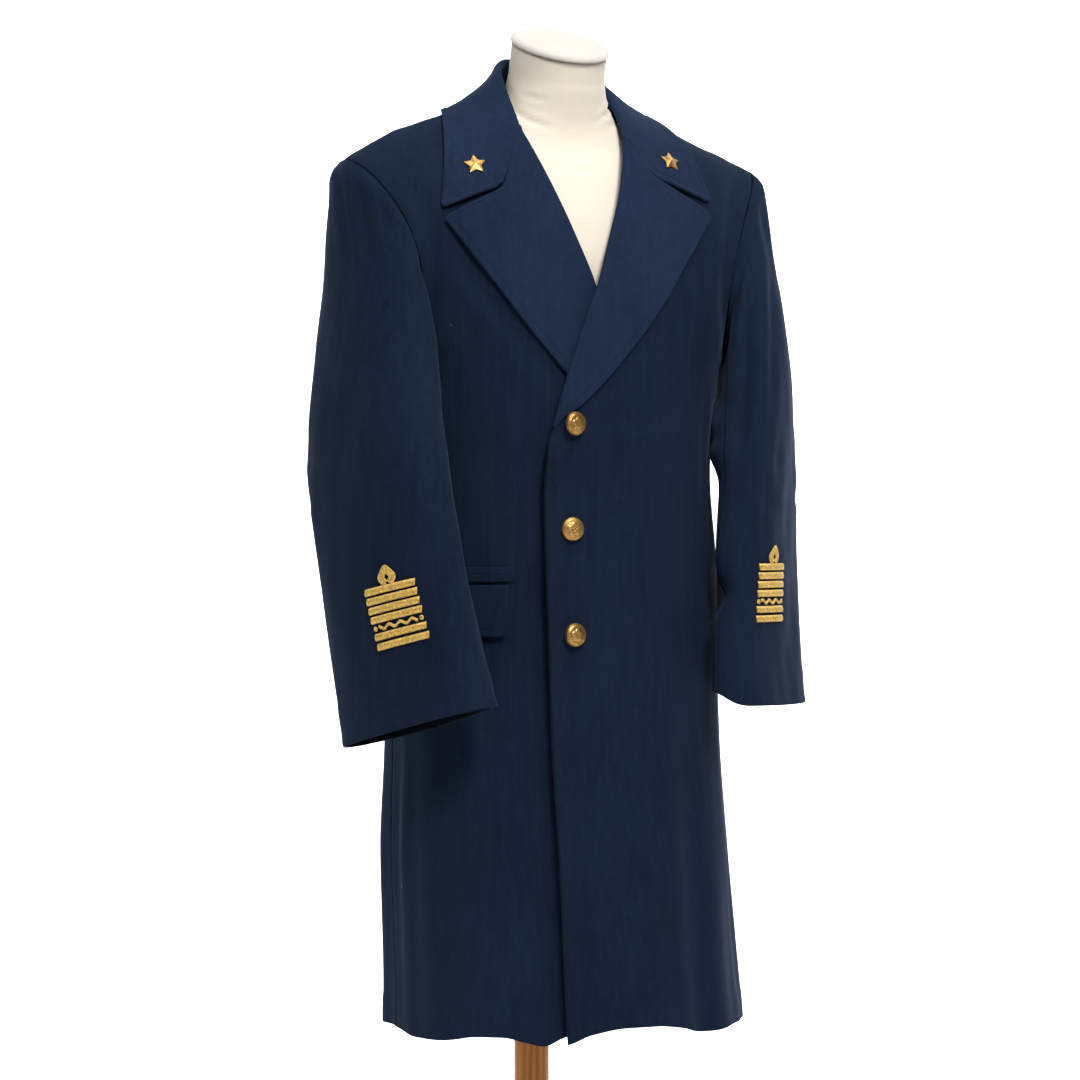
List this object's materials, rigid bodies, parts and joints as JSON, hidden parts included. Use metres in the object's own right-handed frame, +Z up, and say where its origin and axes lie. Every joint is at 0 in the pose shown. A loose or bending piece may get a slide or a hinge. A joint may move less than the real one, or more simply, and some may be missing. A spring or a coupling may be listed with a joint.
{
  "type": "military dress greatcoat on a limbless dress form with a post stand",
  "caption": "Long single-breasted navy dress coat with wide lapels, gilt buttons and gold sleeve braid, worn by a limbless dress form on a wooden post stand.",
  "frame": {"origin": "middle of the underside of the base disc, on the axis of the post, on the floor", "axes": "+Z up along the post; the coat's front faces -Y; the wearer's left is +X"},
  "size_m": [0.5876, 0.437, 1.548],
  "materials": {
    "coat_cloth": "matt milled wool coating, dark navy",
    "gilt": "soft-polished gilt, slightly dulled",
    "braid": "gold thread embroidery",
    "jersey": "cream stretch jersey over a smooth form",
    "wood": "mid-brown varnished hardwood"
  },
  "bodies": {
    "root": {"back_left": "coat_cloth", "back_right": "coat_cloth", "button_bottom": "gilt", "button_middle": "gilt", "button_top": "gilt", "collar_fall": "coat_cloth", "collar_stand": "coat_cloth", "collar_star_left": "gilt", "collar_star_right": "gilt", "form_neck_cap": "jersey", "form_torso": "jersey", "front_left": "coat_cloth", "front_right": "coat_cloth", "lapel_left": "coat_cloth", "lapel_right": "coat_cloth", "pocket_band_left": "coat_cloth", "pocket_band_right": "coat_cloth", "pocket_flap_left": "coat_cloth", "pocket_flap_right": "coat_cloth", "rank_left_bar_1": "braid", "rank_left_bar_2": "braid", "rank_left_bar_3": "braid", "rank_left_bar_4": "braid", "rank_left_bar_5": "braid", "rank_left_bar_6": "braid", "rank_left_loop": "braid", "rank_left_wave": "braid", "rank_right_bar_1": "braid", "rank_right_bar_2": "braid", "rank_right_bar_3": "braid", "rank_right_bar_4": "braid", "rank_right_bar_5": "braid", "rank_right_bar_6": "braid", "rank_right_loop": "braid", "rank_right_wave": "braid", "sleeve_left_under": "coat_cloth", "sleeve_left_upper": "coat_cloth", "sleeve_right_under": "coat_cloth", "sleeve_right_upper": "coat_cloth", "stand_base": "wood", "stand_post": "wood"}
  },
  "joints": []
}
